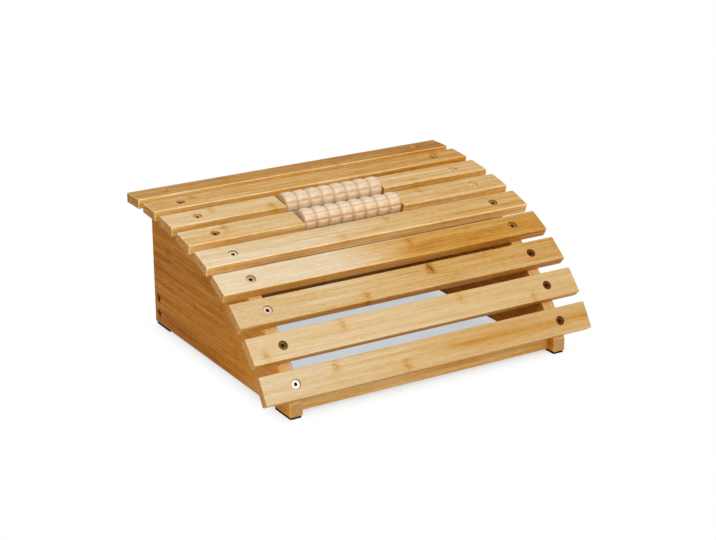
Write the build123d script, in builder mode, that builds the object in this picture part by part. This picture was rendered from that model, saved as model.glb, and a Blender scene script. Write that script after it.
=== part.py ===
"""Massage footrest: slats over two curved side panels, with two knobbed rollers in the middle.

+X runs along the slats to the right, +Y to the back, +Z up. The origin lies on the floor, in the
middle of the footrest. Lengths are in millimetres.
"""

import os
from math import acos, copysign, cos, degrees, radians, sin, tan

from build123d import *

# Slats
slat_length = 430.0
slat_width = 32.2
slat_thickness = 12.0
slat_gap = 12.2
slat_edge_radius = 1.5
slat_count = 9

# Tread, the curve over the slats' top faces: a flat crown at the back, a tight nose at the front
crown_radius = 616.0
nose_radius = 257.5
crown_run = 169.5
toe_run = 20.6
toe_height = 17.5

# Side panels
panel_thickness = 16.0
panel_edge_radius = 1.0
panel_tail = 4.6
slat_overhang = 32.2

# Rails between the panels
rail_thickness = 16.0
back_rail_height = 45.0
back_rail_inset = 2.5
front_rail_height = 30.0
front_rail_drop = 4.5
rail_edge_radius = 1.0

# Rollers and their axles, in the broken rows
roller_rows = (2, 3)
roller_opening = 133.6
roller_end_gap = 0.9
roller_diameter = 29.0
roller_end_radius = 1.8
ring_count = 8
ring_groove_depth = 2.3
flute_count = 8
flute_radius = 2.2
flute_depth = 1.5
roller_turns = (21.0, 8.0)
axle_diameter = 6.0
axle_insertion = 12.0
axle_chamfer = 0.5
running_clearance = 0.08

# Ribs under the broken rows and the row on each side of them
rib_thickness = 16.0
rib_depth = 25.0
rib_setback = 2.0
rib_end_run = 12.0
rib_edge_radius = 1.0

# Countersunk wood screws with a hexagon socket
screw_diameter = 5.0
screw_head_diameter = 10.5
screw_head_rim = 0.5
screw_head_angle = 90.0
screw_tip = 5.0
screw_recess = 1.4
socket_width = 4.0
socket_depth = 2.6
slat_screw_length = 32.0
rail_screw_length = 45.0
back_rail_screw_spacing = 19.0
slat_skin = 4.0
screw_clearance = 0.1
hole_end_clearance = 0.5

# Foot pads
pad_length = 35.0
pad_thickness = 2.9
pad_corner_radius = 1.5

# Places along the tread, counted from the middle of the first row at the back
slat_pitch = slat_width + slat_gap
row_runs = [row * slat_pitch for row in range(slat_count)]
tail_end = -(slat_width / 2 + panel_tail)
toe_end = row_runs[-1] + toe_run

crown_angle = crown_run / crown_radius
nose_shift = crown_radius - nose_radius
nose_from_crown = (-nose_shift * sin(crown_angle), nose_shift * cos(crown_angle))


def tread_angle(run):
    """Slope of the tread, in radians, at a distance along it."""
    if run <= crown_run:
        return run / crown_radius
    return crown_angle + (run - crown_run) / nose_radius


def from_crown_center(run, depth):
    """Place (y, z) at a distance along the tread and a depth under it, from the crown's centre."""
    angle = tread_angle(run)
    if run <= crown_run:
        radius = crown_radius - depth
        return (-radius * sin(angle), radius * cos(angle))
    radius = nose_radius - depth
    return (nose_from_crown[0] - radius * sin(angle), nose_from_crown[1] + radius * cos(angle))


# The last slat's rounded top corner reaches furthest forward, the panels' tail furthest back
last_slope = tread_angle(row_runs[-1])
corner_reach = (slat_width / 2 - slat_edge_radius) * cos(last_slope)
corner_rise = slat_edge_radius * (1 - sin(last_slope))
front_reach = from_crown_center(row_runs[-1], 0)[0] - corner_reach - corner_rise
tail_reach = from_crown_center(tail_end, slat_thickness)[0]

crown_y = -(front_reach + tail_reach) / 2
crown_z = toe_height - from_crown_center(toe_end, slat_thickness)[1]
nose_y = crown_y + nose_from_crown[0]
nose_z = crown_z + nose_from_crown[1]


def tread_point(run, depth):
    """Place (y, z) at a distance along the tread and a depth under it."""
    y, z = from_crown_center(run, depth)
    return (crown_y + y, crown_z + z)


def row_plane(row):
    """Plane on a row's tread: x along the slat, y up the slope to the back, z out of the tread."""
    y, z = tread_point(row_runs[row], 0)
    slope = tread_angle(row_runs[row])
    return Plane(origin=(0, y, z), x_dir=(1, 0, 0), z_dir=(0, -sin(slope), cos(slope)))


def draw_tread(start, end, depth):
    """Draw the stretch of the tread between two distances along it, at a depth under it."""
    if start < crown_run:
        sweep = degrees((min(end, crown_run) - start) / crown_radius)
        CenterArc((crown_y, crown_z), crown_radius - depth, 90 + degrees(tread_angle(start)), sweep)
    if end > crown_run:
        nose_start = max(start, crown_run)
        sweep = degrees((end - nose_start) / nose_radius)
        CenterArc((nose_y, nose_z), nose_radius - depth, 90 + degrees(tread_angle(nose_start)), sweep)


# Places of the pieces that cross or carry the slats
half_length = slat_length / 2
half_opening = roller_opening / 2
panel_outer = half_length - slat_overhang
panel_inner = panel_outer - panel_thickness
panel_middle = panel_outer - panel_thickness / 2
panel_base = pad_thickness
panel_front = tread_point(toe_end, slat_thickness)[0]
panel_back = tread_point(tail_end, slat_thickness)[0]

back_rail_back = panel_back - back_rail_inset
back_rail_middle = (back_rail_back - rail_thickness / 2, panel_base + back_rail_height / 2)
front_rail_roof = panel_base + front_rail_height + front_rail_drop
front_rail_angle = acos((front_rail_roof - nose_z) / (nose_radius - slat_thickness))
front_rail_front = nose_y - (nose_radius - slat_thickness) * sin(front_rail_angle)
front_rail_middle = (front_rail_front + rail_thickness / 2, panel_base + front_rail_height / 2)

rib_rows = range(roller_rows[0] - 1, roller_rows[-1] + 2)
rib_inner = half_opening + axle_insertion + rib_setback
rib_middle = rib_inner + rib_thickness / 2

screw_radius = screw_diameter / 2
head_radius = screw_head_diameter / 2
hole_radius = screw_radius + screw_clearance
sink_radius = head_radius + screw_clearance
sink_start = screw_recess + screw_head_rim
rib_screw_length = rib_depth - screw_recess + slat_thickness - slat_skin

axle_radius = axle_diameter / 2
axle_depth = slat_thickness / 2


def finish(builder, name):
    """Name a finished piece and write it."""
    builder.part.label = name
    export_step(builder.part, f"parts/{name}.step")


os.makedirs("parts", exist_ok=True)


def make_slat(row, left_end, right_end):
    """A rounded slat of one row, drilled for its screws and, at an end beside a roller, for the axle."""
    tread = row_plane(row)
    axle_y, axle_z = tread_point(row_runs[row], axle_depth)
    with BuildPart(tread) as slat:
        with BuildSketch(tread):
            with Locations(((left_end + right_end) / 2, 0)):
                Rectangle(right_end - left_end, slat_width)
        extrude(amount=-slat_thickness)
        fillet(slat.edges(), slat_edge_radius)
        for side in (-1, 1):
            if left_end < side * panel_middle < right_end:
                with Locations((side * panel_middle, 0, -sink_start)):
                    CounterSinkHole(hole_radius, sink_radius, slat_thickness, screw_head_angle)
            if row in rib_rows and left_end < side * rib_middle < right_end:
                with BuildSketch(tread.offset(-slat_thickness)):
                    with Locations((side * rib_middle, 0)):
                        Circle(hole_radius)
                extrude(amount=slat_thickness - slat_skin + hole_end_clearance, mode=Mode.SUBTRACT)
        for end in (left_end, right_end):
            if abs(end) < half_length:
                with BuildSketch(Plane.YZ.offset(end)):
                    with Locations((axle_y, axle_z)):
                        Circle(axle_radius + screw_clearance)
                blind_depth = copysign(axle_insertion + hole_end_clearance, end)
                extrude(amount=blind_depth, mode=Mode.SUBTRACT)
    return slat


for row in range(slat_count):
    if row in roller_rows:
        finish(make_slat(row, -half_length, -half_opening), f"slat_{row + 1}_left")
        finish(make_slat(row, half_opening, half_length), f"slat_{row + 1}_right")
    else:
        finish(make_slat(row, -half_length, half_length), f"slat_{row + 1}")

# Side panels, drilled for the slat screws along the curved edge and for the rail screws near the floor
slat_screw_bite = slat_screw_length + screw_recess - slat_thickness + hole_end_clearance
back_rail_heights = [back_rail_middle[1] + sign * back_rail_screw_spacing / 2 for sign in (-1, 1)]
back_rail_screw_places = [(back_rail_middle[0], z) for z in back_rail_heights]
rail_screw_places = back_rail_screw_places + [front_rail_middle]


def side_planes(side, places):
    """Planes on one panel's outer face that face outwards, at the places (y, z)."""
    return [Plane(origin=(side * panel_outer, y, z), z_dir=(side, 0, 0)) for y, z in places]


for side, name in ((-1, "left"), (1, "right")):
    with BuildPart() as panel:
        with BuildSketch(Plane.YZ.offset(side * panel_middle)):
            with BuildLine():
                draw_tread(tail_end, toe_end, slat_thickness)
                Polyline(
                    tread_point(toe_end, slat_thickness),
                    (panel_front, panel_base),
                    (panel_back, panel_base),
                    tread_point(tail_end, slat_thickness),
                )
            make_face()
        extrude(amount=panel_thickness / 2, both=True)
        fillet(panel.faces().filter_by(Axis.X).edges(), panel_edge_radius)
        for row in range(slat_count):
            with Locations(row_plane(row).offset(-slat_thickness)):
                with Locations((side * panel_middle, 0)):
                    Hole(hole_radius, slat_screw_bite)
        with Locations([plane.offset(-sink_start) for plane in side_planes(side, rail_screw_places)]):
            CounterSinkHole(hole_radius, sink_radius, panel_thickness, screw_head_angle)
    finish(panel, f"{name}_side_panel")


def make_rail(middle, height, screw_heights):
    """A rail between the panels' inner faces, drilled in both ends for its screws."""
    pilot_depth = rail_screw_length + screw_recess - panel_thickness + hole_end_clearance
    with BuildPart() as rail:
        with BuildSketch(Plane.YZ):
            with Locations(middle):
                RectangleRounded(rail_thickness, height, rail_edge_radius)
        extrude(amount=panel_inner, both=True)
        for side in (-1, 1):
            for screw_z in screw_heights:
                end_face = Plane(origin=(side * panel_inner, middle[0], screw_z), z_dir=(side, 0, 0))
                with Locations(end_face):
                    Hole(hole_radius, pilot_depth)
    return rail


finish(make_rail(back_rail_middle, back_rail_height, back_rail_heights), "back_rail")
finish(make_rail(front_rail_middle, front_rail_height, (front_rail_middle[1],)), "front_rail")

# Ribs, whose top edge follows the underside of the slats that they carry
rib_start = row_runs[rib_rows[0]] - rib_end_run
rib_end = row_runs[rib_rows[-1]] + rib_end_run
rib_floor = slat_thickness + rib_depth
for side, name in ((-1, "left"), (1, "right")):
    with BuildPart() as rib:
        with BuildSketch(Plane.YZ.offset(side * rib_middle)):
            with BuildLine():
                draw_tread(rib_start, rib_end, slat_thickness)
                Line(tread_point(rib_end, slat_thickness), tread_point(rib_end, rib_floor))
                draw_tread(rib_start, rib_end, rib_floor)
                Line(tread_point(rib_start, rib_floor), tread_point(rib_start, slat_thickness))
            make_face()
        extrude(amount=rib_thickness / 2, both=True)
        fillet(rib.faces().filter_by(Axis.X).edges(), rib_edge_radius)
        for row in rib_rows:
            underside = row_plane(row).offset(-rib_floor)
            with Locations(Plane(underside.origin, x_dir=underside.x_dir, z_dir=-underside.z_dir)):
                with Locations((side * rib_middle, 0, -sink_start)):
                    CounterSinkHole(hole_radius, sink_radius, rib_depth, screw_head_angle)
    finish(rib, f"{name}_roller_rib")

# Rollers, turned in rounded rings and fluted along their length, and the axles that they run on
roller_length = roller_opening - 2 * roller_end_gap
roller_radius = roller_diameter / 2
groove_radius = roller_radius - ring_groove_depth
bore_radius = axle_radius + running_clearance
ring_pitch = roller_length / ring_count
for row, turn, name in zip(roller_rows, roller_turns, ("back", "front")):
    axle_y, axle_z = tread_point(row_runs[row], axle_depth)
    axis_start = Plane(origin=(-roller_length / 2, axle_y, axle_z), x_dir=(1, 0, 0), z_dir=(0, -1, 0))
    with BuildPart() as roller:
        with BuildSketch(axis_start) as profile:
            with BuildLine():
                Polyline((0, groove_radius), (0, bore_radius), (roller_length, bore_radius),
                         (roller_length, groove_radius))
                for ring in range(ring_count):
                    start = ring * ring_pitch
                    crest = (start + ring_pitch / 2, roller_radius)
                    ThreePointArc((start, groove_radius), crest, (start + ring_pitch, groove_radius))
            make_face()
            by_station = profile.vertices().group_by(Axis.X)
            fillet([by_station[end].sort_by(Axis.Y)[-1] for end in (0, -1)], roller_end_radius)
        revolve(axis=Axis(axis_start.origin, (1, 0, 0)))
        with BuildSketch(Plane(axis_start.origin, x_dir=(0, 1, 0), z_dir=(1, 0, 0))):
            with PolarLocations(roller_radius - flute_depth + flute_radius, flute_count, 180 - turn):
                Circle(flute_radius)
        extrude(amount=roller_length, mode=Mode.SUBTRACT)
    finish(roller, f"{name}_roller")

    with BuildPart() as axle:
        with BuildSketch(Plane.YZ):
            with Locations((axle_y, axle_z)):
                Circle(axle_radius)
        extrude(amount=half_opening + axle_insertion, both=True)
        chamfer(axle.edges().filter_by(GeomType.CIRCLE), axle_chamfer)
    finish(axle, f"{name}_roller_axle")


def make_screw(length):
    """A countersunk wood screw that points down, with the top of its head at the origin."""
    cone = (head_radius - screw_radius) / tan(radians(screw_head_angle / 2))
    with BuildPart() as screw:
        with BuildSketch(Plane.XZ):
            with BuildLine():
                Polyline(
                    (0, 0),
                    (head_radius, 0),
                    (head_radius, -screw_head_rim),
                    (screw_radius, -screw_head_rim - cone),
                    (screw_radius, screw_tip - length),
                    (0, -length),
                    close=True,
                )
            make_face()
        revolve(axis=Axis.Z)
        with BuildSketch():
            RegularPolygon(socket_width / 2, 6, major_radius=False)
        extrude(amount=-socket_depth, mode=Mode.SUBTRACT)
    return screw.part


def set_screws(length, head_planes, name):
    """A group of like screws, each with its head sunk under one of the planes."""
    screw = make_screw(length)
    with BuildPart() as screws:
        with Locations([plane.offset(-screw_recess) for plane in head_planes]):
            add(screw)
    finish(screws, name)


slat_heads = []
rib_heads = []
for row in range(slat_count):
    tread = row_plane(row)
    for side in (-1, 1):
        above = tread.origin + Vector(side * panel_middle, 0, 0)
        slat_heads.append(Plane(above, x_dir=(1, 0, 0), z_dir=tread.z_dir))
        if row in rib_rows:
            below = tread.offset(-rib_floor).origin + Vector(side * rib_middle, 0, 0)
            rib_heads.append(Plane(below, x_dir=(1, 0, 0), z_dir=-tread.z_dir))

set_screws(slat_screw_length, slat_heads, "slat_screws")
set_screws(rib_screw_length, rib_heads, "rib_screws")
for name, places in (("back", back_rail_screw_places), ("front", [front_rail_middle])):
    rail_heads = side_planes(-1, places) + side_planes(1, places)
    set_screws(rail_screw_length, rail_heads, f"{name}_rail_screws")

# Foot pads, under the flat of each panel's foot at its front and back ends
pad_width = panel_thickness - 2 * panel_edge_radius
pad_middles = {
    "front": panel_front + panel_edge_radius + pad_length / 2,
    "back": panel_back - panel_edge_radius - pad_length / 2,
}
for side, side_name in ((-1, "left"), (1, "right")):
    for end_name, pad_y in pad_middles.items():
        with BuildPart() as pad:
            with BuildSketch():
                with Locations((side * panel_middle, pad_y)):
                    RectangleRounded(pad_width, pad_length, pad_corner_radius)
            extrude(amount=pad_thickness)
        finish(pad, f"{end_name}_{side_name}_foot_pad")
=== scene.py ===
"""Bamboo massage footrest: finishes, turned rollers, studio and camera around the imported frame."""

from math import atan2, copysign, cos, pi, radians, sin, sqrt
from typing import NamedTuple

import bmesh
import bpy
from mathutils import Matrix, Vector


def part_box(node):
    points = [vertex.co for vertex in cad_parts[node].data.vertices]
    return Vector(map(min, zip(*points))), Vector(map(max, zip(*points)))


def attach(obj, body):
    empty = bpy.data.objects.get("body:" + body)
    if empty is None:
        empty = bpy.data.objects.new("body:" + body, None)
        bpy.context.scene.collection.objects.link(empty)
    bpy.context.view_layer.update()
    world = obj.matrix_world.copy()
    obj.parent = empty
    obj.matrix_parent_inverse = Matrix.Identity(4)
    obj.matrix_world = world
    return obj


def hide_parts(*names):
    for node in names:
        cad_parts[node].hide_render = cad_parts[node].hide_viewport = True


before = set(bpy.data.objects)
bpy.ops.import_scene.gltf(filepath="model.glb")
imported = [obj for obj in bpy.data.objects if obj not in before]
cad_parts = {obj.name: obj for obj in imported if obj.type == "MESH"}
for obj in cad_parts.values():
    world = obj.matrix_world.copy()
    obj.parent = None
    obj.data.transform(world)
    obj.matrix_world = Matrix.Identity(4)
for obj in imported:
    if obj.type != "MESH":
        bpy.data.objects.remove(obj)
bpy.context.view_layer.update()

MM_IN_M = 1000

# Sizes of the part that the finishes follow, in millimetres.
SLAT_WIDTH = 32.2
SLAT_THICKNESS = 12.0
SLAT_EDGE_RADIUS = 1.5
SLAT_END = 215.0
SCREW_LINE = 174.8
SCREW_HOLE_RADIUS = 5.35
SCREW_HEAD_RADIUS = 5.25
SCREW_SOCKET_RADIUS = 2.35
SCREW_HEAD_LEVEL = 4.6
ROLLER_LENGTH = 131.8
ROLLER_RADIUS = 14.5
ROLLER_RINGS = 8
ROLLER_FLUTES = 8
RING_GROOVE_DEPTH = 2.3
FLUTE_DEPTH = 1.5
FLUTE_REACH = 2.9
ROLLER_END_RADIUS = 1.8
AXLE_BORE_RADIUS = 3.08

# How the rollers' skin is rounded and divided.
GROOVE_FILL = 0.3
GROOVE_FILL_REACH = 1.6
FLUTE_HOLLOW = 1.4
KNOB_ROUNDING = 3
SKIN_STEPS = 16
END_STEPS = (0.04, 0.13, 0.27, 0.45, 0.7)
SHARP_EDGE = radians(50)

# Where strips of bamboo meet, and how far its amber streaks waver and fade in, in millimetres.
STRIP_JOIN = 0.25
SLAT_GLUE_LINE = 0.22
BOARD_GLUE_LINE = 0.3
AMBER_WAVER = 5.0
AMBER_FADE = (-25, 45)

# Steps from the seed of one slat, or of one joint's mark, to the next.
SLAT_SEED_STEP = 7.3
KNUCKLE_SEED_STEP = 11.0

# Marks of the bamboo's joints, in millimetres.
KNUCKLE_WANDER = 9.0
KNUCKLE_LINE = 1.3
KNUCKLE_EYE_LENGTH = 4.4
KNUCKLE_EYE_WIDTH = 3.4
KNUCKLE_PATCH = 5.5

# The studio, in metres.
FLOOR_RADIUS = 9.0
FLOOR_CORNERS = 96
FLOOR_DROP = 0.0002
SHADE_HALF_WIDTH = 0.185
SHADE_HALF_DEPTH = 0.158
SHADE_EDGE = (-0.015, 0.017)
TINT_EDGE = (-0.045, 0.0)
SOFTBOX_SIZE = 1.8
SOFTBOX_AIM = (0.0, 0.0, 0.08)

# Levels of light and gloss.
FILL_LEVEL = 0.24
SHADE_LEVEL = 0.60
RIM_LIGHT = 0.95
BOARD_GLOSS = 0.03
SCREW_GLOSS = 0.03
RUBBER_GLOSS = 0.08

# Colours of light, floor and finishes, and of painted shade.
SOFTBOX_COLOUR = (1.0, 0.985, 0.96)
COOL_FILL = (0.90, 0.95, 1.0, 1.0)
WHITE = (1.0, 1.0, 1.0, 1.0)
FLOOR_PAINT = (0.86, 0.89, 0.94, 1.0)
FLOOR_SHADE = (0.77, 0.84, 0.89, 1.0)
END_GRAIN_AND_SHADE_BROWN = (0.15, 0.062, 0.016, 1.0)
PANEL_STAIN = (1.0, 0.84, 0.64, 1.0)
BEECH_PALE = (0.785, 0.625, 0.445, 1.0)
BEECH_WARM = (0.640, 0.440, 0.270, 1.0)
BEECH_GROOVE_SHADE = (0.520, 0.290, 0.140, 1.0)
BEECH_END = (0.56, 0.34, 0.19, 1.0)
BEECH_UNDERSIDE_SHADE = (0.94, 0.83, 0.68, 1.0)
SCREW_PITS = (0.40, 0.34, 0.28, 1.0)
SCREW_RIM_SHADE = (0.46, 0.34, 0.22, 1.0)
SCREW_SOCKET = (0.050, 0.020, 0.003, 1.0)
SCREW_BROWN = (0.25, 0.075, 0.012, 1.0)
SCREW_DEEP_BROWN = (0.12, 0.034, 0.006, 1.0)
STEEL = (0.62, 0.61, 0.59, 1.0)
STEEL_STAIN = (0.42, 0.40, 0.37, 1.0)
RUBBER = (0.006, 0.006, 0.006, 1.0)
RUBBER_DUST = (0.026, 0.024, 0.022, 1.0)

# Bamboo from bleached to scorched, against its ripeness: 0 is pale and 1 is amber.
BAMBOO_TONES = (
    (-0.2, (0.860, 0.715, 0.520)),
    (0.0, (0.807, 0.637, 0.413)),
    (0.5, (0.705, 0.460, 0.192)),
    (1.0, (0.600, 0.290, 0.046)),
    (1.25, (0.538, 0.218, 0.022)),
    (1.6, (0.270, 0.104, 0.012)),
)
SLAT_END_RIPENESS = 1.06

# Each softbox: its azimuth and elevation in degrees, distance, level, and whether gloss mirrors it.
SOFTBOXES = (
    ("key_softbox", -34, 46, 3.0, 0.42, True),
    ("top_softbox", -60, 80, 2.6, 0.16, True),
    ("front_softbox", 4, 30, 3.0, 0.46, True),
    ("back_softbox", 155, 12, 3.0, 0.30, False),
)


class FibreSizes(NamedTuple):
    """Length and width of each layer of fibre in millimetres, and how strongly it shows."""

    clouds: tuple
    bands: tuple
    fine: tuple
    flecks: tuple
    lines: tuple
    line_detail: float
    line_range: tuple  # where in the noise a dark line begins, and where it is full


SLAT_FIBRES = FibreSizes(
    clouds=(90.0, 9.0, 0.42), bands=(170.0, 3.0, 0.95), fine=(40.0, 0.8, 0.75), flecks=(8.0, 1.2, 0.60),
    lines=(16.0, 0.4, 0.16), line_detail=1.0, line_range=(0.58, 0.74))
BOARD_FIBRES = FibreSizes(
    clouds=(110.0, 14.0, 0.46), bands=(190.0, 2.6, 1.20), fine=(60.0, 0.8, 1.15), flecks=(10.0, 1.2, 0.70),
    lines=(120.0, 1.2, 0.10), line_detail=2.0, line_range=(0.56, 0.72))


class SlatLook(NamedTuple):
    """How light and how ripe one row of slats is, from its left end to its right end."""

    light: float        # 1 for the palest wood
    grain: float        # how strongly the fibres show
    gloss: float        # of the lacquer
    painted_edge_highlight: float         # how strongly a highlight is painted along the rounded edges
    hole_shade: float       # how much painted shade darkens the walls of the screw holes
    back_strip: tuple   # ripeness at the left and right end, and the stretch where one turns into the other
    front_strip: tuple  # the same, for the strip along the slat's front
    edge_tone: tuple    # ripeness of the narrow faces at the left and right end
    narrow_face_painted_light: float   # how light the narrow faces are drawn, as painted light
    end_light: float    # how light the cut ends are
    knuckles: tuple     # place along the slat, strip (0 front, 1 back), strength
    ambers: tuple       # amber streaks: where they start, their line across the slat, half width, strength


SLAT_LOOKS = (
    SlatLook(
        light=0.88, grain=1.6, gloss=0.06, painted_edge_highlight=1.0, hole_shade=0.25,
        back_strip=(0.91, 1.18, -215, 120), front_strip=(0.88, 1.16, -215, 120),
        edge_tone=(0.84, 0.86), narrow_face_painted_light=1.10, end_light=0.89,
        knuckles=((-96, 1, 0.5), (52, 0, 0.5)), ambers=()),
    SlatLook(
        light=1.02, grain=1.75, gloss=0.06, painted_edge_highlight=1.0, hole_shade=0.25,
        back_strip=(0.70, 0.92, -215, 215), front_strip=(0.70, 0.92, -215, 215),
        edge_tone=(0.96, 1.08), narrow_face_painted_light=1.02, end_light=1.01,
        knuckles=((-157, 1, 0.8), (180, 1, 0.9), (62, 0, 0.4)), ambers=()),
    SlatLook(
        light=1.02, grain=1.5, gloss=0.10, painted_edge_highlight=0.6, hole_shade=0.25,
        back_strip=(0.34, 0.54, -215, 215), front_strip=(0.32, 0.50, -215, 215),
        edge_tone=(0.80, 0.98), narrow_face_painted_light=1.02, end_light=1.02,
        knuckles=((-153, 1, 0.9), (-82, 0, 1.1), (112, 0, 0.4)), ambers=()),
    SlatLook(
        light=0.99, grain=1.5, gloss=0.10, painted_edge_highlight=0.6, hole_shade=0.25,
        back_strip=(0.44, 0.56, -215, 215), front_strip=(0.48, 0.58, -215, 215),
        edge_tone=(0.64, 0.84), narrow_face_painted_light=1.08, end_light=1.05,
        knuckles=((-160, 1, 1.2), (102, 1, 0.6)), ambers=()),
    SlatLook(
        light=0.95, grain=1.35, gloss=0.20, painted_edge_highlight=0.6, hole_shade=0.8,
        back_strip=(0.12, 0.64, -200, 160), front_strip=(0.08, 0.62, -170, 160),
        edge_tone=(0.66, 0.70), narrow_face_painted_light=1.15, end_light=1.05,
        knuckles=((-40, 0, 0.6), (28, 1, 0.7)), ambers=((85, -9, 4, 0.4),)),
    SlatLook(
        light=0.90, grain=1.2, gloss=0.20, painted_edge_highlight=0.3, hole_shade=0.8,
        back_strip=(-0.02, 0.96, -105, 75), front_strip=(0.0, 1.00, -75, 55),
        edge_tone=(0.84, 1.22), narrow_face_painted_light=1.06, end_light=1.07,
        knuckles=((33, 1, 0.7),), ambers=((12, -4, 6, 0.22),)),
    SlatLook(
        light=0.83, grain=1.4, gloss=0.20, painted_edge_highlight=0.3, hole_shade=0.8,
        back_strip=(0.34, 0.76, -150, 110), front_strip=(0.32, 0.70, -150, 110),
        edge_tone=(0.98, 1.18), narrow_face_painted_light=0.99, end_light=1.04,
        knuckles=((38, 1, 2.0), (-55, 0, 0.8)), ambers=()),
    SlatLook(
        light=0.83, grain=0.9, gloss=0.20, painted_edge_highlight=0.3, hole_shade=0.8,
        back_strip=(0.24, 0.46, -200, 200), front_strip=(0.22, 0.48, -200, 200),
        edge_tone=(0.95, 1.05), narrow_face_painted_light=1.05, end_light=1.14,
        knuckles=((-98, 1, 0.8), (57, 1, 0.6), (152, 0, 0.7), (-198, 0, 0.7)), ambers=()),
    SlatLook(
        light=0.80, grain=0.95, gloss=0.20, painted_edge_highlight=0.3, hole_shade=0.8,
        back_strip=(0.19, 0.64, -205, 75), front_strip=(0.21, 0.60, -205, 75),
        edge_tone=(0.95, 1.05), narrow_face_painted_light=1.05, end_light=1.00,
        knuckles=((-123, 1, 0.8), (-37, 0, 0.8)), ambers=((10, 0, 5, 0.4),)),
)


class BoardLook(NamedTuple):
    """How a glued board is made up."""

    strip: float     # width of its strips
    light: tuple     # at one end and the other, 1 for the palest wood
    tone: tuple      # ripeness at one end and the other, and the stretch where one turns into the other
    stain: tuple     # colour that its broad faces are stained with
    rim: tuple       # ripeness of its narrow edges at one end and the other
    inside: float    # how much painted shade darkens the broad face that looks into the footrest, minus for the one behind
    knuckles: tuple  # place along the board, height, strength


LEFT_PANEL = BoardLook(
    strip=22.0, light=(1.42, 1.13), tone=(0.92, 1.18, -140, 50), stain=PANEL_STAIN, rim=(0.58, 0.85),
    inside=0.4, knuckles=((62, 55, 0.3), (-40, 33, 0.3), (128, 99, 0.3), (-8, 77, 0.3)))
RIGHT_PANEL = LEFT_PANEL._replace(inside=-0.4)
RIB = BoardLook(
    strip=25.0, light=(1.0, 1.0), tone=(0.70, 0.80, -60, 60), stain=WHITE, rim=(0.7, 0.8),
    inside=0.0, knuckles=((20, 0, 0.5),))
FRONT_RAIL = BoardLook(
    strip=15.0, light=(1.0, 1.0), tone=(0.66, 0.80, -150, 150), stain=WHITE, rim=(0.7, 0.8),
    inside=0.0, knuckles=((-119, 4, 0.8), (-51, 4, 0.8), (115, 4, 0.8)))
BACK_RAIL = BoardLook(
    strip=22.5, light=(1.0, 1.0), tone=(0.66, 0.80, -150, 150), stain=WHITE, rim=(0.7, 0.8),
    inside=0.7, knuckles=((-90, 11, 0.6), (40, -11, 0.6)))

# Boards on edge, with their fibres from front to back or from side to side.
LENGTHWISE = (radians(90), 0.0, radians(90))
CROSSWISE = (radians(90), 0.0, 0.0)


class HeadReflection(NamedTuple):
    """Painted reflection colour of a screw's head, and how much painted shade fills its socket."""

    colour: tuple
    socket: float


# Painted reflections: each head colour stands in for what that head reflects where it sits, and the number
# after it is the painted shade in its socket.
WHITE_REFLECTION = HeadReflection((0.93, 0.89, 0.81), 0.95)
BRIGHT = HeadReflection((0.97, 0.83, 0.65), 0.95)
ROSY = HeadReflection((0.88, 0.70, 0.57), 0.96)
COPPERY = HeadReflection((0.70, 0.44, 0.29), 0.96)
PALE = HeadReflection((0.95, 0.72, 0.43), 0.22)
STRAW = HeadReflection((0.72, 0.47, 0.18), 0.94)
WOOD_TONED = HeadReflection((0.73, 0.39, 0.15), 0.28)
GOLDEN = HeadReflection((0.64, 0.34, 0.08), 0.85)
BROWN = HeadReflection((0.43, 0.21, 0.05), 0.91)
OLIVE = HeadReflection((0.120, 0.078, 0.004), 0.88)
DARK = HeadReflection((0.125, 0.049, 0.008), 0.92)

# The left and right screw of each row of slats, from the back to the front.
SLAT_SCREWS = (
    (WOOD_TONED, WOOD_TONED),
    (BROWN, GOLDEN),
    (STRAW, PALE),
    (BROWN, PALE),
    (BRIGHT, BROWN),
    (COPPERY, BROWN),
    (ROSY, DARK),
    (OLIVE, DARK),
    (WHITE_REFLECTION, DARK),
)

# Millimetres from front to back that the ramps of the heads' painted reflections span, about the middle of
# the part.
REFLECTION_RAMP_SPAN = 400.0


class Wire:
    """A socket of a material, so that a finish reads as sums of wires and numbers."""

    def __init__(self, bench, socket):
        self.bench = bench
        self.socket = socket

    def __add__(self, other):
        return self.bench.math("ADD", self, other)

    def __radd__(self, other):
        return self.bench.math("ADD", other, self)

    def __sub__(self, other):
        return self.bench.math("SUBTRACT", self, other)

    def __rsub__(self, other):
        return self.bench.math("SUBTRACT", other, self)

    def __mul__(self, other):
        return self.bench.math("MULTIPLY", self, other)

    def __rmul__(self, other):
        return self.bench.math("MULTIPLY", other, self)

    def __truediv__(self, other):
        return self.bench.math("DIVIDE", self, other)

    def __rtruediv__(self, other):
        return self.bench.math("DIVIDE", other, self)

    def __abs__(self):
        return self.bench.math("ABSOLUTE", self)


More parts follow.
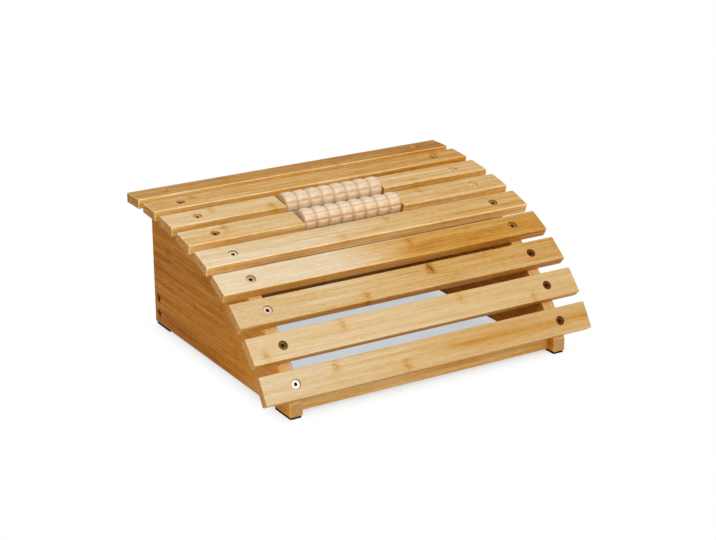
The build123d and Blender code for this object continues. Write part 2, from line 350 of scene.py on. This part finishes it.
class Bench:
    """Where the nodes of one material or world are made."""

    def __init__(self, owner):
        owner.use_nodes = True
        self.tree = owner.node_tree
        self.tree.nodes.clear()

    def node(self, kind, settings=None, sockets=None, output=0):
        """Makes a node, sets it up, then fills its sockets with values or wires.

        Gives one output, or a list where several are named.
        """
        made = self.tree.nodes.new(kind)
        for key, value in (settings or {}).items():
            if key == "stops":
                self.set_stops(made.color_ramp.elements, value)
            else:
                setattr(made, key, value)
        named = {socket.identifier: socket for socket in made.inputs}
        for key, value in (sockets or {}).items():
            socket = made.inputs[key] if isinstance(key, int) else named[key]
            if isinstance(value, Wire):
                self.tree.links.new(value.socket, socket)
            else:
                socket.default_value = value
        if isinstance(output, tuple):
            return [Wire(self, made.outputs[key]) for key in output]
        return Wire(self, made.outputs[output])

    def set_stops(self, elements, stops):
        """Puts the stops of a colour ramp in place."""
        while len(elements) < len(stops):
            elements.new(1.0)
        for element, (position, colour) in zip(elements, stops):
            element.position = position
            element.color = colour

    def math(self, operation, first, second=0.0):
        """One step of arithmetic on wires and numbers."""
        return self.node("ShaderNodeMath", {"operation": operation}, {0: first, 1: second})

    def diagonal(self, first, second):
        """How far two lengths at right angles reach together."""
        return self.math("SQRT", first * first + second * second)

    def blend(self, factor, first, second, way="MIX"):
        """Two colours blended."""
        return self.node("ShaderNodeMix", {"data_type": "RGBA", "blend_type": way},
                         {"Factor_Float": factor, "A_Color": first, "B_Color": second}, output=2)

    def slide(self, value, start, stop, first=0.0, last=1.0):
        """Goes softly from first to last while value goes from start to stop."""
        return self.node("ShaderNodeMapRange", {"interpolation_type": "SMOOTHSTEP"}, {
            "Value": value, "From Min": start, "From Max": stop, "To Min": first, "To Max": last})

    def hill(self, value, centre, reach):
        """1 at the centre, falling away softly on both sides."""
        step = (value - centre) / reach
        return self.math("EXPONENT", 0.0 - step * step)

    def streaks(self, place, length, width, seed, detail=3.0):
        """Fibres, length by width in millimetres, from 0 to 1."""
        drawn_out = self.node("ShaderNodeVectorMath", {"operation": "MULTIPLY_ADD"}, {
            0: place, 1: (1 / length, 1 / width, 1 / width), 2: (seed, 3.7 * seed, -2.3 * seed)})
        return self.node("ShaderNodeTexNoise", {}, {
            "Vector": drawn_out, "Scale": 1.0, "Detail": detail, "Roughness": 0.55})

    def lie(self, centre=(0.0, 0.0, 0.0), turn=(0.0, 0.0, 0.0)):
        """Millimetres along, across and through a piece that lies at centre, and which way its faces look."""
        part, facing = self.node("ShaderNodeTexCoord", output=("Object", "Normal"))
        scale = (1 / MM_IN_M, 1 / MM_IN_M, 1 / MM_IN_M)
        place = self.node("ShaderNodeMapping", {"vector_type": "TEXTURE"}, {
            "Vector": part, "Location": centre, "Rotation": turn, "Scale": scale})
        looks = self.node("ShaderNodeMapping", {"vector_type": "TEXTURE"}, {
            "Vector": facing, "Rotation": turn})
        return place, looks

    def parts(self, vector):
        """The three parts of a vector."""
        return self.node("ShaderNodeSeparateXYZ", {}, {"Vector": vector}, output=(0, 1, 2))

    def bump(self, height, strength, distance):
        """A surface that stands out by height, distance metres at most."""
        return self.node("ShaderNodeBump", {}, {"Strength": strength, "Distance": distance, "Height": height})

    def surface(self, shader):
        """Makes the shader the material's surface."""
        self.node("ShaderNodeOutputMaterial", {}, {"Surface": shader}, output=())


class Fibres(NamedTuple):
    """Layers of fibre in a piece of bamboo, from 0 to 1, and what they do together."""

    clouds: Wire
    bands: Wire
    fine: Wire
    lines: Wire
    grain: Wire   # how far they ripen the wood
    relief: Wire  # how high they stand


def new_bench(name):
    """A new material, and the bench for its nodes."""
    material = bpy.data.materials.new(name)
    return material, Bench(material)


def slat_lie(node):
    """Where a slat's cross-section is centred, in metres, and its slope, from the box round it."""
    low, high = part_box(node)
    centre = (Vector(low) + Vector(high)) / 2
    deep = (high[1] - low[1]) * MM_IN_M - 2 * SLAT_EDGE_RADIUS
    tall = (high[2] - low[2]) * MM_IN_M - 2 * SLAT_EDGE_RADIUS
    wide = SLAT_WIDTH - 2 * SLAT_EDGE_RADIUS
    thick = SLAT_THICKNESS - 2 * SLAT_EDGE_RADIUS
    slope = atan2(wide * tall - thick * deep, wide * deep - thick * tall)
    return (0.0, centre.y, centre.z), (slope, 0.0, 0.0)


def fibre_layers(bench, place, sizes, seed):
    """Clouds, bands, fine fibres, flecks and dark lines, laid over each other."""
    # Each layer's size and strength, the shift of its seed, and its detail.
    layers = (
        (sizes.clouds, 0.0, 2.0),
        (sizes.bands, 1.0, 3.0),
        (sizes.fine, 2.0, 4.0),
        (sizes.flecks, 5.0, 2.0),
        (sizes.lines, 3.0, sizes.line_detail),
    )
    drawn = [bench.streaks(place, length, width, seed + shift, detail)
             for (length, width, _), shift, detail in layers]
    clouds, bands, fine, flecks, lines = drawn
    lines = bench.slide(lines, *sizes.line_range)
    cloudy, banded, fibrous, flecked, lined = [layer[0][2] for layer in layers]
    grain = (clouds - 0.5) * cloudy + (bands - 0.5) * banded + (fine - 0.5) * fibrous
    grain = grain + (flecks - 0.5) * flecked + lines * lined
    return Fibres(clouds, bands, fine, lines, grain, fine * 0.6 + bands * 0.5)


def knuckle(bench, place, off_line, in_strip, at, strength, seed):
    """The mark of one bamboo joint.

    A wavering line with a brown eye on it, in a patch of feathered amber fibre.
    """
    along, _, _ = bench.parts(place)
    wander = bench.streaks(place, 40.0, 4.5, seed, detail=1.0)
    feathers = bench.slide(bench.streaks(place, 9.0, 0.9, seed + 4.0), 0.40, 0.68)
    blotches = bench.slide(bench.streaks(place, 5.0, 3.0, seed + 8.0, detail=2.0), 0.34, 0.62)
    spots = bench.slide(bench.streaks(place, 4.5, 2.2, seed + 12.0, detail=2.0), 0.36, 0.60)
    here = along + (wander - 0.5) * KNUCKLE_WANDER
    line = bench.hill(here, at, KNUCKLE_LINE)
    eye = bench.hill(here, at, KNUCKLE_EYE_LENGTH) * bench.hill(off_line, 0.0, KNUCKLE_EYE_WIDTH)
    patch = bench.hill(here, at, KNUCKLE_PATCH)
    mark = line * (0.04 + blotches * 0.14) + eye * (0.06 + spots * 0.42)
    mark = mark + patch * (0.20 + feathers * 0.32) * (0.35 + blotches * 0.65)
    return mark * in_strip * strength


def end_grain(bench, place, seed):
    """Dark fibre bundles in the cut ends, from 0 to 1."""
    flat = bench.node("ShaderNodeVectorMath", {"operation": "MULTIPLY_ADD"},
                      {0: place, 1: (0.0, 1.25, 1.25), 2: (seed, seed, 0.0)})
    bundle = bench.node("ShaderNodeTexVoronoi", {"voronoi_dimensions": "3D"}, {"Vector": flat, "Scale": 1.0})
    return bench.slide(bundle, 0.42, 0.18)


def from_screw(bench, along, across):
    """Millimetres from the axis of a slat's screw."""
    return bench.diagonal(abs(along) - SCREW_LINE, across)


def screw_hole_shade(bench, along, across):
    """Painted shade on the wall and rim of the two screw holes of a slat."""
    return bench.slide(from_screw(bench, along, across), SCREW_HOLE_RADIUS + 0.5, SCREW_HOLE_RADIUS - 0.1)


def bamboo_shader(bench, ripeness, light, shade, height, fine, gloss):
    """Satin lacquered bamboo of the given ripeness, with the fibres standing out a little."""
    palest = BAMBOO_TONES[0][0]
    span = BAMBOO_TONES[-1][0] - palest
    stops = [((ripeness_and_underside_shade - palest) / span, (*tone, 1.0)) for ripeness_and_underside_shade, tone in BAMBOO_TONES]
    colour = bench.node("ShaderNodeValToRGB", {"stops": stops}, {0: (ripeness - palest) / span})
    colour = bench.blend(1.0, colour, light, "MULTIPLY")
    # Painted shade: blended towards dark brown in the screw holes and on the inner faces; on the boards' ends
    # partly painted shade, partly the end grain's own darker colour.
    colour = bench.blend(shade, colour, END_GRAIN_AND_SHADE_BROWN)
    return bench.node("ShaderNodeBsdfPrincipled", {}, {
        "Base Color": colour, "Roughness": 0.40 + fine * 0.16, "Specular IOR Level": gloss,
        "Normal": bench.bump(height, strength=0.35, distance=0.0002)})


def strip_tone(bench, along, tone):
    """A value that turns from that of the left end to that of the right end over a stretch."""
    left, right, start, stop = tone
    return bench.slide(along, start, stop, left, right)


def slat_tone(bench, look, along, at_back, on_edge):
    """Ripeness of a slat's front and back strip and of its narrow faces."""
    front = strip_tone(bench, along, look.front_strip)
    ripeness = front + (strip_tone(bench, along, look.back_strip) - front) * at_back
    edge = strip_tone(bench, along, (*look.edge_tone, -SLAT_END, SLAT_END))
    return ripeness + (edge - ripeness) * on_edge


def slat_finish(row, centre, turn):
    """Two strips of bamboo side by side, with the knuckles and amber streaks of this row."""
    look = SLAT_LOOKS[row]
    material, bench = new_bench(f"slat_{row + 1}_bamboo")
    seed = SLAT_SEED_STEP * (row + 1)
    place, looks = bench.lie(centre, turn)
    along, across, _ = bench.parts(place)
    to_end, to_edge, to_top = bench.parts(looks)
    at_back = bench.slide(across, -STRIP_JOIN, STRIP_JOIN)
    on_edge = bench.slide(abs(to_edge), 0.5, 0.9)
    on_end = bench.slide(abs(to_end), 0.6, 0.9)
    fibres = fibre_layers(bench, place, SLAT_FIBRES, seed)
    ripeness = slat_tone(bench, look, along, at_back, on_edge)
    ripeness = ripeness + (SLAT_END_RIPENESS + end_grain(bench, place, seed) * 0.18 - ripeness) * on_end
    ripeness = ripeness + fibres.grain * look.grain
    for number, (at, strip, strength) in enumerate(look.knuckles):
        in_strip = at_back if strip else 1 - at_back
        off_line = across - (strip - 0.5) * SLAT_WIDTH / 2
        own_seed = seed + KNUCKLE_SEED_STEP * number
        ripeness = ripeness + knuckle(bench, place, off_line, in_strip, at, strength, own_seed)
    for start, line, reach, strength in look.ambers:
        band = bench.hill(across + (fibres.bands - 0.5) * AMBER_WAVER, line, reach)
        band = band * bench.slide(along, start + AMBER_FADE[0], start + AMBER_FADE[1])
        ripeness = ripeness + band * (0.55 + fibres.clouds * 0.9) * strength * (1 - on_edge)
    glue_line = bench.hill(across, 0.0, SLAT_GLUE_LINE)
    # Painted highlight along the rounded edges: the wood is drawn paler and lighter there.
    turning = abs(to_edge * to_top) + abs(to_end * to_top) + abs(to_end * to_edge)
    painted_edge_highlight = bench.slide(turning, 0.10, 0.36) * look.painted_edge_highlight
    ripeness = ripeness + glue_line * 0.12 - painted_edge_highlight * 0.42
    # Painted light: the narrow faces drawn lighter or darker than the top.
    light = look.light + on_edge * (look.narrow_face_painted_light - look.light)
    light = light + on_end * (look.end_light - look.light) + painted_edge_highlight * 0.14
    # Painted shade on the walls and rims of the screw holes.
    shade = screw_hole_shade(bench, along, across) * look.hole_shade
    height = fibres.relief - glue_line * 0.5 - fibres.lines * 0.3
    bench.surface(bamboo_shader(bench, ripeness, light, shade, height, fibres.fine, look.gloss))
    return material


def board_finish(name, centre, turn, look, seed):
    """A glued bamboo board: strips side by side, each of its own shade, ripening from end to end."""
    material, bench = new_bench(name)
    place, looks = bench.lie(centre, turn)
    along, across, _ = bench.parts(place)
    to_end, _, to_face = bench.parts(looks)
    on_rim = bench.slide(abs(to_face), 0.8, 0.4)
    on_end = bench.slide(abs(to_end), 0.90, 0.99)
    # Painted shade on the broad face that looks into the footrest: riper and darker there.
    inside = bench.slide(to_face * copysign(1.0, look.inside), 0.5, 0.9) * abs(look.inside)
    fibres = fibre_layers(bench, place, BOARD_FIBRES, seed)
    row = bench.math("FLOOR", across / look.strip)
    own = bench.node("ShaderNodeCombineXYZ", {}, {"X": row, "Y": seed, "Z": 0.5})
    tint = bench.node("ShaderNodeTexWhiteNoise", {"noise_dimensions": "3D"}, {"Vector": own})
    stretch = look.tone[2:]
    ripeness = strip_tone(bench, along, look.tone) + (tint - 0.5) * 0.14 + inside * 0.5
    rim = strip_tone(bench, along, (*look.rim, *stretch))
    ripeness = ripeness + (rim - ripeness) * on_rim + fibres.grain
    for number, (at, level, strength) in enumerate(look.knuckles):
        off_line = across - level
        in_strip = bench.slide(abs(off_line), look.strip * 0.5, look.strip * 0.42)
        own_seed = seed + KNUCKLE_SEED_STEP * number
        ripeness = ripeness + knuckle(bench, place, off_line, in_strip, at, strength, own_seed)
    seam = bench.math("FRACT", across / look.strip) - 0.5
    glue_line = bench.slide(abs(seam), 0.5 - BOARD_GLUE_LINE / look.strip, 0.5)
    ripeness = ripeness + glue_line * 0.10 + on_end * end_grain(bench, place, seed) * 0.4
    light = strip_tone(bench, along, (*look.light, *stretch))
    light = light + (RIM_LIGHT - light) * on_rim
    stained = bench.blend(1.0, bench.blend(on_rim, look.stain, WHITE), light, "MULTIPLY")
    # Painted shade on the inner face; on the ends, painted shade and the end grain's own darker colour
    # together.
    shade = on_end * 0.4 + inside * 0.6
    height = fibres.relief - glue_line * 0.5
    bench.surface(bamboo_shader(bench, ripeness, stained, shade, height, fibres.fine, BOARD_GLOSS))
    return material


def roller_finish(name, axle, ripeness_and_underside_shade, seed):
    """Pale turned beech: faint growth layers and flecks, with painted warm shade below and painted shade down
    in the cuts.
    """
    material, bench = new_bench(name)
    place, looks = bench.lie(axle)
    _, across, through = bench.parts(place)
    to_end, _, _ = bench.parts(looks)
    away = bench.diagonal(across, through)
    # Painted shade down in the ring grooves and flutes.
    cut = bench.slide(away, ROLLER_RADIUS - 0.9, ROLLER_RADIUS - 2.2)
    wavy = bench.streaks(place, 70.0, 9.0, seed)
    layers = bench.math("SINE", (across * 0.5 + through * 1.3 + wavy * 7.0) * 1.1) * 0.5 + 0.5
    fine = bench.streaks(place, 22.0, 0.5, seed + 2.0, detail=4.0)
    flecks = bench.slide(bench.streaks(place, 4.0, 0.7, seed + 3.0, detail=2.0), 0.52, 0.72)
    warmth = 0.26 * layers + (fine - 0.5) * 1.2 + flecks * 0.60
    colour = bench.blend(warmth, BEECH_PALE, BEECH_WARM)
    colour = bench.blend(cut * 0.75, colour, BEECH_GROOVE_SHADE)
    # Painted shade, warm, on the underside of the roller.
    below = bench.slide(through / away, 0.70, 0.38)
    colour = bench.blend(below * ripeness_and_underside_shade, colour, BEECH_UNDERSIDE_SHADE, "MULTIPLY")
    on_end = bench.slide(abs(to_end), 0.7, 0.95)
    colour = bench.blend(on_end * 0.7, colour, BEECH_END)
    shader = bench.node("ShaderNodeBsdfPrincipled", {}, {
        "Base Color": colour, "Roughness": 0.34 + fine * 0.14, "Specular IOR Level": 0.5,
        "Normal": bench.bump(fine - flecks * 0.4, strength=0.3, distance=0.0002)})
    bench.surface(shader)
    return material


def slat_names(row):
    """The slat of a row, or the two halves of a broken row."""
    if f"slat_{row + 1}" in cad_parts:
        return [f"slat_{row + 1}"]
    return [f"slat_{row + 1}_left", f"slat_{row + 1}_right"]


def screw_shader(bench, place, colour, socket, turned):
    """Plated screw steel, a little pitted, with turning marks on the head and a dark socket, which on the
    slats' screws is painted shade.
    """
    grain = bench.node("ShaderNodeTexNoise", {}, {"Vector": place, "Scale": 3.0, "Detail": 3.0})
    colour = bench.blend(bench.slide(grain, 0.40, 0.75) * 0.6, colour, SCREW_PITS, "MULTIPLY")
    colour = bench.blend(socket, colour, SCREW_SOCKET)
    blue = bench.node("ShaderNodeSeparateColor", {}, {"Color": colour}, output=2)
    return bench.node("ShaderNodeBsdfPrincipled", {}, {
        "Base Color": colour, "Metallic": bench.slide(blue, 0.40, 0.75, 0.0, 0.95),
        "Roughness": 0.34 + grain * 0.2, "Specular IOR Level": SCREW_GLOSS,
        "Normal": bench.bump(grain * 0.6 + turned, strength=0.25, distance=0.0001)})


def on_reflection_ramp(depth):
    """Where a place from front to back, in millimetres, falls on the ramps of the heads' painted reflections.
    """
    return depth / REFLECTION_RAMP_SPAN + 0.5


def slat_head_reflections(bench, along, across, lies):
    """The heads' painted reflection colours and how much painted shade fills the sockets, going from screw to
    screw.
    """
    heads = [centre[1] * MM_IN_M - SCREW_HEAD_LEVEL * sin(turn[0]) for centre, turn in lies]
    tones, darks = [], []
    for screws in zip(*SLAT_SCREWS):
        stops = [(on_reflection_ramp(head), (*screw.colour, screw.socket)) for head, screw in zip(heads, screws)]
        tone, dark = bench.node(
            "ShaderNodeValToRGB", {"stops": stops[::-1]}, {0: on_reflection_ramp(across)}, output=(0, 1))
        tones.append(tone)
        darks.append(dark)
    at_right = bench.slide(along, -5.0, 5.0)
    return bench.blend(at_right, *tones), darks[0] + (darks[1] - darks[0]) * at_right


def from_row(bench, centre, turn):
    """Millimetres from the middle line of a row of slats."""
    place, _ = bench.lie(centre, turn)
    _, across, _ = bench.parts(place)
    return abs(across)


def slat_screw_finish():
    """The slats' screws, each head painted with the reflection of its own place, with painted shade at its
    rim and in its socket.
    """
    material, bench = new_bench("slat_screw_steel")
    place, _ = bench.lie()
    along, across, _ = bench.parts(place)
    lies = [slat_lie(slat_names(row)[0]) for row in range(len(SLAT_SCREWS))]
    colour, darkness = slat_head_reflections(bench, along, across, lies)
    nearest = from_row(bench, *lies[0])
    for lie in lies[1:]:
        nearest = bench.math("MINIMUM", from_row(bench, *lie), nearest)
    away = from_screw(bench, along, nearest)
    # Painted shade in a ring round the rim of the head.
    rim = bench.slide(away, SCREW_HEAD_RADIUS - 1.7, SCREW_HEAD_RADIUS - 0.3)
    colour = bench.blend(rim * 0.55, colour, SCREW_RIM_SHADE, "MULTIPLY")
    # Painted shade in the socket.
    socket = bench.slide(away, SCREW_SOCKET_RADIUS + 0.25, SCREW_SOCKET_RADIUS - 0.15) * darkness
    turned = bench.math("SINE", away * 12.0) * 0.25
    bench.surface(screw_shader(bench, place, colour, socket, turned))
    return material


def frame_screw_finish():
    """The rails' and ribs' screws, browned in blotches."""
    material, bench = new_bench("frame_screw_steel")
    place, _ = bench.lie()
    blotch = bench.node("ShaderNodeTexNoise", {}, {"Vector": place, "Scale": 0.3, "Detail": 2.0})
    colour = bench.blend(bench.slide(blotch, 0.3, 0.7), SCREW_BROWN, SCREW_DEEP_BROWN)
    bench.surface(screw_shader(bench, place, colour, bench.slide(blotch, 0.6, 0.8) * 0.4, blotch * 0.3))
    return material


def axle_finish():
    """Drawn steel rod, with rings left by the lathe and a few grey stains."""
    material, bench = new_bench("axle_drawn_steel")
    place, _ = bench.lie()
    rings = bench.streaks(place, 0.3, 30.0, 2.0)
    stain = bench.streaks(place, 12.0, 6.0, 5.0)
    colour = bench.blend(bench.slide(stain, 0.4, 0.7), STEEL, STEEL_STAIN)
    shader = bench.node("ShaderNodeBsdfPrincipled", {}, {
        "Base Color": colour, "Metallic": 1.0, "Roughness": 0.24 + rings * 0.2,
        "Normal": bench.bump(rings, strength=0.2, distance=0.0001)})
    bench.surface(shader)
    return material


def pad_finish():
    """Moulded black rubber, pebbled, with a little dust in the pebbles."""
    material, bench = new_bench("pad_black_rubber")
    place, _ = bench.lie()
    pebbles = bench.node("ShaderNodeTexVoronoi", {}, {"Vector": place, "Scale": 1.4})
    dust = bench.node("ShaderNodeTexNoise", {}, {"Vector": place, "Scale": 0.25, "Detail": 4.0})
    colour = bench.blend(bench.slide(dust + pebbles * 0.3, 0.5, 0.95), RUBBER, RUBBER_DUST)
    shader = bench.node("ShaderNodeBsdfPrincipled", {}, {
        "Base Color": colour, "Roughness": 0.62 + dust * 0.25, "Specular IOR Level": RUBBER_GLOSS,
        "Normal": bench.bump(pebbles, strength=0.4, distance=0.0002)})
    bench.surface(shader)
    return material


def give(material, *names):
    """Puts a finish on CAD pieces."""
    for name in names:
        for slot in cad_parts[name].material_slots:
            slot.material = material


def finish_slats():
    """Each row of slats in its own bamboo."""
    for row in range(len(SLAT_LOOKS)):
        names = slat_names(row)
        give(slat_finish(row, *slat_lie(names[0])), *names)


def box_middle(node):
    """The middle of a CAD piece, in metres."""
    low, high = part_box(node)
    return tuple((Vector(low) + Vector(high)) / 2)


def finish_boards():
    """The side panels, whose strips are set out from the floor, and the ribs and rails."""
    for side, line, look, seed in (
            ("left", -SCREW_LINE, LEFT_PANEL, 31.0),
            ("right", SCREW_LINE, RIGHT_PANEL, 47.0)):
        finish = board_finish(side + "_panel_bamboo", (line / MM_IN_M, 0.0, 0.0), LENGTHWISE, look, seed)
        give(finish, side + "_side_panel")
    for name, turn, look, seed in (
            ("left_roller_rib", LENGTHWISE, RIB, 59.0),
            ("right_roller_rib", LENGTHWISE, RIB, 67.0),
            ("front_rail", CROSSWISE, FRONT_RAIL, 73.0),
            ("back_rail", CROSSWISE, BACK_RAIL, 83.0)):
        give(board_finish(name + "_bamboo", box_middle(name), turn, look, seed), name)


def finish_metal_and_rubber():
    """The screws, the axles and the foot pads."""
    give(slat_screw_finish(), "slat_screws")
    give(frame_screw_finish(), "rib_screws", "back_rail_screws", "front_rail_screws")
    give(axle_finish(), "back_roller_axle", "front_roller_axle")
    give(pad_finish(), "front_left_foot_pad", "back_left_foot_pad",
         "front_right_foot_pad", "back_right_foot_pad")


def knob_radius(station, angle):
    """How far out the roller's skin is, at a place along it and an angle from a flute, in millimetres."""
    pitch = ROLLER_LENGTH / ROLLER_RINGS
    from_crest = abs(station / pitch % 1.0 - 0.5) * pitch
    bend = (pitch * pitch / 4 + RING_GROOVE_DEPTH ** 2) / (2 * RING_GROOVE_DEPTH)
    ring = bend - sqrt(bend * bend - from_crest * from_crest)
    ring = ring - GROOVE_FILL * max(0.0, 1 - (pitch / 2 - from_crest) / GROOVE_FILL_REACH) ** 2
    step = 2 * pi / ROLLER_FLUTES
    from_flute = abs((angle / step + 0.5) % 1.0 - 0.5) * step * ROLLER_RADIUS
    flute = FLUTE_DEPTH * cos(pi / 2 * min(1.0, from_flute / FLUTE_REACH)) ** FLUTE_HOLLOW
    short = max(0.0, ROLLER_END_RADIUS - min(station, ROLLER_LENGTH - station))
    end = ROLLER_END_RADIUS - sqrt(ROLLER_END_RADIUS ** 2 - short * short)
    cut = (max(0.0, ring) ** KNOB_ROUNDING + flute ** KNOB_ROUNDING) ** (1 / KNOB_ROUNDING)
    return ROLLER_RADIUS - cut - end


def turned_skin(name, axle, flute_rise):
    """A roller's skin, from one end of its bore over the knobs to the other and back through the bore."""
    around = ROLLER_FLUTES * SKIN_STEPS
    angles = [2 * pi * step / around for step in range(around)]
    half = ROLLER_LENGTH / 2
    shape = bmesh.new()

    def ring(station, radii):
        made = []
        for angle, radius in zip(angles, radii):
            out = radius / MM_IN_M
            spot = ((station - half) / MM_IN_M, axle[1] - out * cos(angle), axle[2] + out * sin(angle))
            made.append(shape.verts.new(spot))
        return made

    stations = ROLLER_RINGS * SKIN_STEPS
    ends = [ROLLER_END_RADIUS * share for share in END_STEPS]
    places = [ROLLER_LENGTH * number / stations for number in range(stations + 1)]
    places = sorted(places + ends + [ROLLER_LENGTH - end for end in ends])
    bore = [AXLE_BORE_RADIUS] * around
    rings = [ring(0.0, bore)]
    for station in places:
        rings.append(ring(station, [knob_radius(station, angle - flute_rise) for angle in angles]))
    rings.append(ring(ROLLER_LENGTH, bore))
    for first, second in zip(rings, rings[1:] + rings[:1]):
        for step in range(around):
            after = (step + 1) % around
            shape.faces.new((first[step], second[step], second[after], first[after]))
    bmesh.ops.recalc_face_normals(shape, faces=shape.faces)
    mesh = bpy.data.meshes.new(name)
    shape.to_mesh(mesh)
    shape.free()
    mesh.shade_smooth()
    mesh.set_sharp_from_angle(angle=SHARP_EDGE)
    return mesh


def turn_roller(node, flute_rise, ripeness_and_underside_shade, seed):
    """A massage roller with rounded rings and flutes, bored for its axle, in place of its CAD solid."""
    low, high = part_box(node)
    axle = (0.0, (low[1] + high[1]) / 2, (low[2] + high[2]) / 2)
    mesh = turned_skin(node + "_turned", axle, radians(flute_rise))
    mesh.materials.append(roller_finish(node + "_beech", axle, ripeness_and_underside_shade, seed))
    roller = bpy.data.objects.new(node + "_turned", mesh)
    bpy.context.scene.collection.objects.link(roller)
    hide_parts(node)
    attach(roller, node)


def seen_ray(bench):
    """1 for what the camera sees, straight, in a reflection or through something clear."""
    camera, glossy, through = bench.node(
        "ShaderNodeLightPath", output=("Is Camera Ray", "Is Glossy Ray", "Is Transmission Ray"))
    return bench.math("MAXIMUM", bench.math("MAXIMUM", camera, glossy), through)


def floor_finish():
    """Pale paint that keeps the shadow near the part and is white farther off, and clear from below."""
    material, bench = new_bench("floor_pale")
    part = bench.node("ShaderNodeTexCoord", output="Object")
    along, across, _ = bench.parts(part)
    away = bench.math("MAXIMUM", abs(along) - SHADE_HALF_WIDTH, abs(across) - SHADE_HALF_DEPTH)
    white = bench.slide(away, *SHADE_EDGE, SHADE_LEVEL, 1.0)
    tint = bench.blend(bench.slide(away, *TINT_EDGE), FLOOR_SHADE, WHITE)
    paint = bench.node("ShaderNodeBsdfDiffuse", {}, {"Color": FLOOR_PAINT})
    glow = bench.node("ShaderNodeEmission", {}, {"Color": tint, "Strength": 1.0})
    lit = bench.node("ShaderNodeMixShader", {}, {0: white * seen_ray(bench), 1: paint, 2: glow})
    below = bench.node("ShaderNodeNewGeometry", output="Backfacing")
    clear = bench.node("ShaderNodeBsdfTransparent")
    bench.surface(bench.node("ShaderNodeMixShader", {}, {0: below, 1: lit, 2: clear}))
    return material


def lay_floor():
    """A plain round floor, a hair below the foot pads."""
    shape = bmesh.new()
    bmesh.ops.create_circle(shape, cap_ends=True, segments=FLOOR_CORNERS, radius=FLOOR_RADIUS)
    mesh = bpy.data.meshes.new("floor")
    shape.to_mesh(mesh)
    shape.free()
    mesh.materials.append(floor_finish())
    floor = bpy.data.objects.new("floor", mesh)
    floor.location.z = -FLOOR_DROP
    bpy.context.scene.collection.objects.link(floor)


def light_world():
    """White to the eye, and a weak cool fill on the part."""
    world = bpy.data.worlds.new("studio")
    bpy.context.scene.world = world
    bench = Bench(world)
    fill = bench.node("ShaderNodeBackground", {}, {"Color": COOL_FILL, "Strength": FILL_LEVEL})
    white = bench.node("ShaderNodeBackground", {}, {"Color": WHITE, "Strength": 1.0})
    both = bench.node("ShaderNodeMixShader", {}, {0: seen_ray(bench), 1: fill, 2: white})
    bench.node("ShaderNodeOutputWorld", {}, {"Surface": both}, output=())


def backward(azimuth, elevation):
    """The way from the part to something that looks at it, for angles in radians."""
    return Vector((sin(azimuth) * cos(elevation), -cos(azimuth) * cos(elevation), sin(elevation)))


def hang_softbox(name, azimuth, elevation, distance, level, mirrored):
    """A square softbox aimed at the part; level 1 lights a white card square to it to white."""
    back = backward(radians(azimuth), radians(elevation))
    data = bpy.data.lights.new(name, "AREA")
    data.shape = "SQUARE"
    data.size = SOFTBOX_SIZE
    data.energy = level * pi * pi * distance * distance
    data.color = SOFTBOX_COLOUR
    lamp = bpy.data.objects.new(name, data)
    lamp.location = Vector(SOFTBOX_AIM) + back * distance
    lamp.rotation_mode = "QUATERNION"
    lamp.rotation_quaternion = (-back).to_track_quat("-Z", "Y")
    lamp.visible_glossy = mirrored
    bpy.context.scene.collection.objects.link(lamp)


def light_studio():
    """The world and the softboxes."""
    light_world()
    for softbox in SOFTBOXES:
        hang_softbox(*softbox)


def place_camera():
    """The photograph's viewpoint."""
    azimuth, elevation, roll = radians(-31.128), radians(19.984), radians(-0.184)
    target, distance = Vector((0.0004, -0.0005, 0.0861)), 2.1296
    back = backward(azimuth, elevation)
    right = Vector((cos(azimuth), sin(azimuth), 0.0))
    up = back.cross(right)
    across = right * cos(roll) + up * sin(roll)
    upward = up * cos(roll) - right * sin(roll)
    data = bpy.data.cameras.new("camera")
    data.sensor_width = 36.0
    data.lens = 91.41
    camera = bpy.data.objects.new("camera", data)
    lie = Matrix((across, upward, back)).transposed().to_4x4()
    lie.translation = target + back * distance
    camera.matrix_world = lie
    bpy.context.scene.collection.objects.link(camera)
    bpy.context.scene.camera = camera


bpy.context.scene.view_settings.view_transform = "Standard"
place_camera()
finish_slats()
finish_boards()
finish_metal_and_rubber()
# The third number is how strong the painted warm shade is under each roller.
turn_roller("back_roller", flute_rise=21.0, ripeness_and_underside_shade=0.55, seed=5.0)
turn_roller("front_roller", flute_rise=8.0, ripeness_and_underside_shade=1.0, seed=9.0)
lay_floor()
light_studio()
